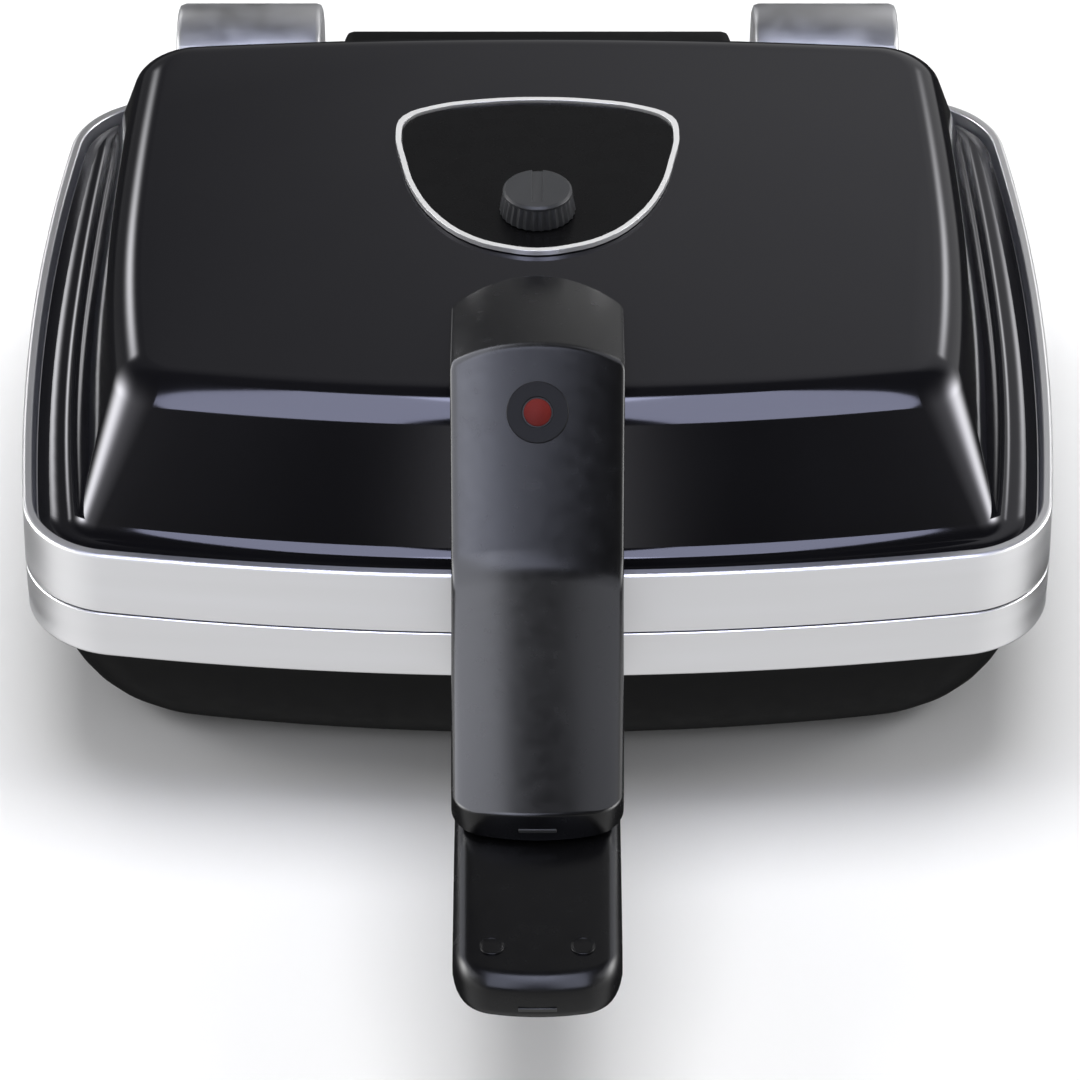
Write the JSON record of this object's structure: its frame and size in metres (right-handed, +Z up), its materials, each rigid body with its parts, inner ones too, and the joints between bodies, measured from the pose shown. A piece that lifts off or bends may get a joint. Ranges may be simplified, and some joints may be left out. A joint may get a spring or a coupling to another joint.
{
  "type": "sandwich and waffle maker",
  "caption": "Countertop sandwich and waffle maker: a hinged domed lid over facing waffle plates in cast frames, with front handles, a lamp and a thermostat knob.",
  "frame": {"origin": "on the table, under the middle of the whole object's length and width", "axes": "+Z up from the table, -Y along the handles towards the user, +X to the user's right"},
  "size_m": [0.31, 0.4301, 0.13],
  "materials": {
    "black_enamel": "glossy black enamel on pressed steel",
    "satin_aluminium": "satin cast aluminium, faintly brushed",
    "non_stick_coating": "cast aluminium with a dark non-stick coating",
    "moulded_black": "finely textured black moulding",
    "knob_grey": "smooth dark grey moulding",
    "bright_trim": "polished trim",
    "reflector_sheet": "thin bright aluminium sheet",
    "badge_black": "aluminium plate lacquered black",
    "lamp_red": "translucent red lens",
    "rubber_black": "matte black rubber",
    "zinc_steel": "zinc-plated steel",
    "heater_sheath": "heat-darkened steel tube"
  },
  "bodies": {
    "base": {"base_screw_front_left": "zinc_steel", "base_screw_front_right": "zinc_steel", "base_screw_rear_left": "zinc_steel", "base_screw_rear_right": "zinc_steel", "cable_grommet": "rubber_black", "foot_front_left": "rubber_black", "foot_front_right": "rubber_black", "foot_rear_left": "rubber_black", "foot_rear_right": "rubber_black", "handle_plug_left": "rubber_black", "handle_plug_right": "rubber_black", "hinge_bracket_left": "satin_aluminium", "hinge_bracket_right": "satin_aluminium", "hinge_pin_left": "zinc_steel", "hinge_pin_right": "zinc_steel", "lower_frame": "satin_aluminium", "lower_handle": "moulded_black", "lower_heater": "heater_sheath", "lower_plate": "non_stick_coating", "lower_reflector": "reflector_sheet", "lower_shell": "moulded_black", "rear_cover": "moulded_black", "terminal_block": "knob_grey"},
    "lid": {"badge_plate": "badge_black", "badge_rim": "bright_trim", "hinge_arm_left": "satin_aluminium", "hinge_arm_right": "satin_aluminium", "lamp_bezel": "knob_grey", "lamp_lens": "lamp_red", "thermostat_body": "zinc_steel", "upper_frame": "satin_aluminium", "upper_handle": "moulded_black", "upper_heater": "heater_sheath", "upper_plate": "non_stick_coating", "upper_reflector": "reflector_sheet", "upper_shell": "black_enamel"},
    "knob": {"thermostat_shaft": "zinc_steel", "thermostat_knob": "knob_grey"}
  },
  "joints": [
    {"name": "lid_hinge", "type": "hinge", "parent": "base", "child": "lid", "pos_m": [0, 0.19315, 0.074], "axis": [-1, 0, 0], "range_deg": [0, 100]},
    {"name": "thermostat_turn", "type": "hinge", "parent": "lid", "child": "knob", "pos_m": [0, 0.04695, 0.1185], "axis": [0, 0, 1], "range_deg": [-135, 135]}
  ]
}
